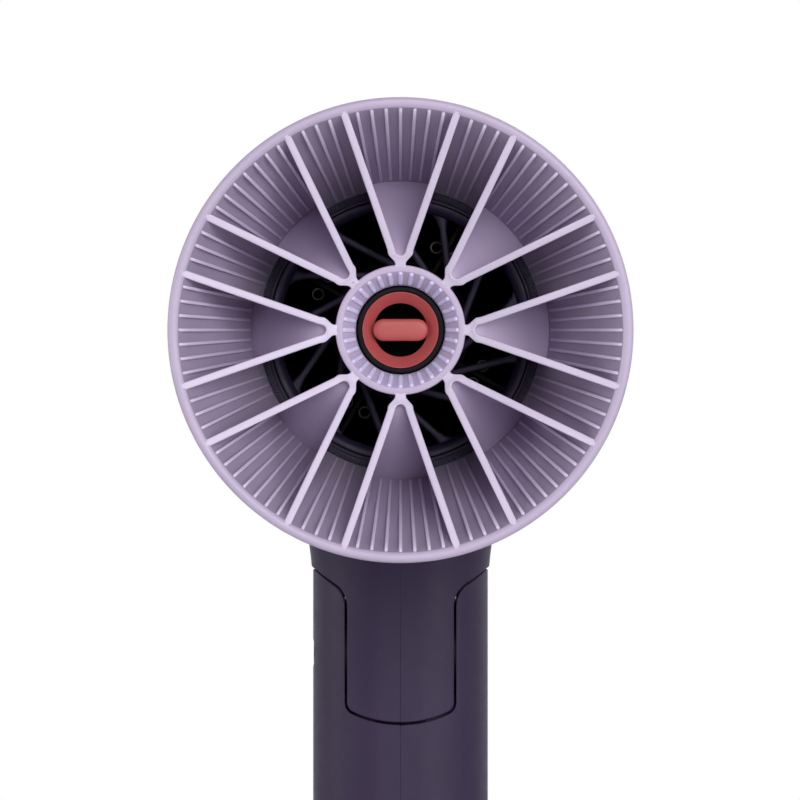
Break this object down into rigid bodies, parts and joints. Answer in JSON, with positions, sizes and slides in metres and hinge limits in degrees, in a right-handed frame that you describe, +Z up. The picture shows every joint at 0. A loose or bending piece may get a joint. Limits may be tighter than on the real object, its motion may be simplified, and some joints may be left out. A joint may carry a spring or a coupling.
{
  "type": "travel hair dryer",
  "caption": "Compact hair dryer with a handle that folds back on a pin, and a flared ribbed cup with petal-shaped vanes that turns and pulls off its outlet.",
  "frame": {"origin": "centre of the cord inlet's mouth, in the flat end of the handle", "axes": "+Z up along the handle, -Y out of the air outlet, +X to the right as the outlet is faced"},
  "size_m": [0.102, 0.139, 0.216],
  "materials": {
    "lilac": "satin",
    "dark_purple": "satin",
    "grille_purple": "satin",
    "coral": "satin",
    "steel": "brushed",
    "mica": "matte",
    "heater_wire": "bright",
    "inner_plastic": "matte",
    "board": "satin",
    "mesh_steel": "woven"
  },
  "bodies": {
    "head": {"head_shell_left": "dark_purple", "head_shell_right": "dark_purple", "head_screws": "steel", "outlet_grille": "grille_purple", "ion_nozzle": "grille_purple", "ion_port_dish": "coral", "ion_bridge": "coral", "ion_needle": "steel", "ion_module": "inner_plastic", "heat_shield": "mica", "heater_former": "mica", "heater_coils": "heater_wire", "thermostat": "steel", "thermal_fuse": "steel", "motor_can": "steel", "motor_mount": "inner_plastic", "rear_grille": "grille_purple", "filter_mesh": "mesh_steel"},
    "ring": {"snap_ring": "grille_purple"},
    "cup": {"cup_shell": "lilac", "petal_spider": "lilac"},
    "fan": {"motor_shaft": "steel", "impeller": "inner_plastic"},
    "handle": {"handle_shell_left": "dark_purple", "handle_shell_right": "dark_purple", "handle_screws": "steel", "hinge_pin": "steel", "hinge_cap": "grille_purple", "hinge_washers": "steel", "switch_plate": "grille_purple", "button_spring": "steel", "button_switch": "inner_plastic", "switch_block": "inner_plastic", "control_board": "board", "end_cap": "dark_purple", "cord_clamp": "inner_plastic"},
    "speed_knob": {"speed_slider": "lilac"},
    "heat_knob": {"heat_slider": "lilac"},
    "cool_knob": {"cool_button": "coral"}
  },
  "joints": [
    {"name": "cup_turn", "type": "hinge", "parent": "head", "child": "ring", "pos_m": [0, -0.04, 0.165], "axis": [0, -1, 0], "continuous": true},
    {"name": "cup_pull", "type": "slide", "parent": "ring", "child": "cup", "axis": [0, -1, 0], "range_m": [0, 0.03]},
    {"name": "fan_spin", "type": "hinge", "parent": "head", "child": "fan", "pos_m": [0, 0.03, 0.165], "axis": [0, 1, 0], "continuous": true},
    {"name": "handle_fold", "type": "hinge", "parent": "head", "child": "handle", "pos_m": [0, 0, 0.093], "axis": [1, 0, 0], "range_deg": [0, 90]},
    {"name": "speed_slide", "type": "slide", "parent": "handle", "child": "speed_knob", "axis": [0, 0, 1], "range_m": [0, 0.008]},
    {"name": "heat_slide", "type": "slide", "parent": "handle", "child": "heat_knob", "axis": [0, 0, 1], "range_m": [0, 0.008]},
    {"name": "cool_press", "type": "slide", "parent": "handle", "child": "cool_knob", "axis": [0, -1, 0], "range_m": [0, 0.0015], "stiffness_N_per_m": 600, "deforming": ["button_spring"]}
  ]
}
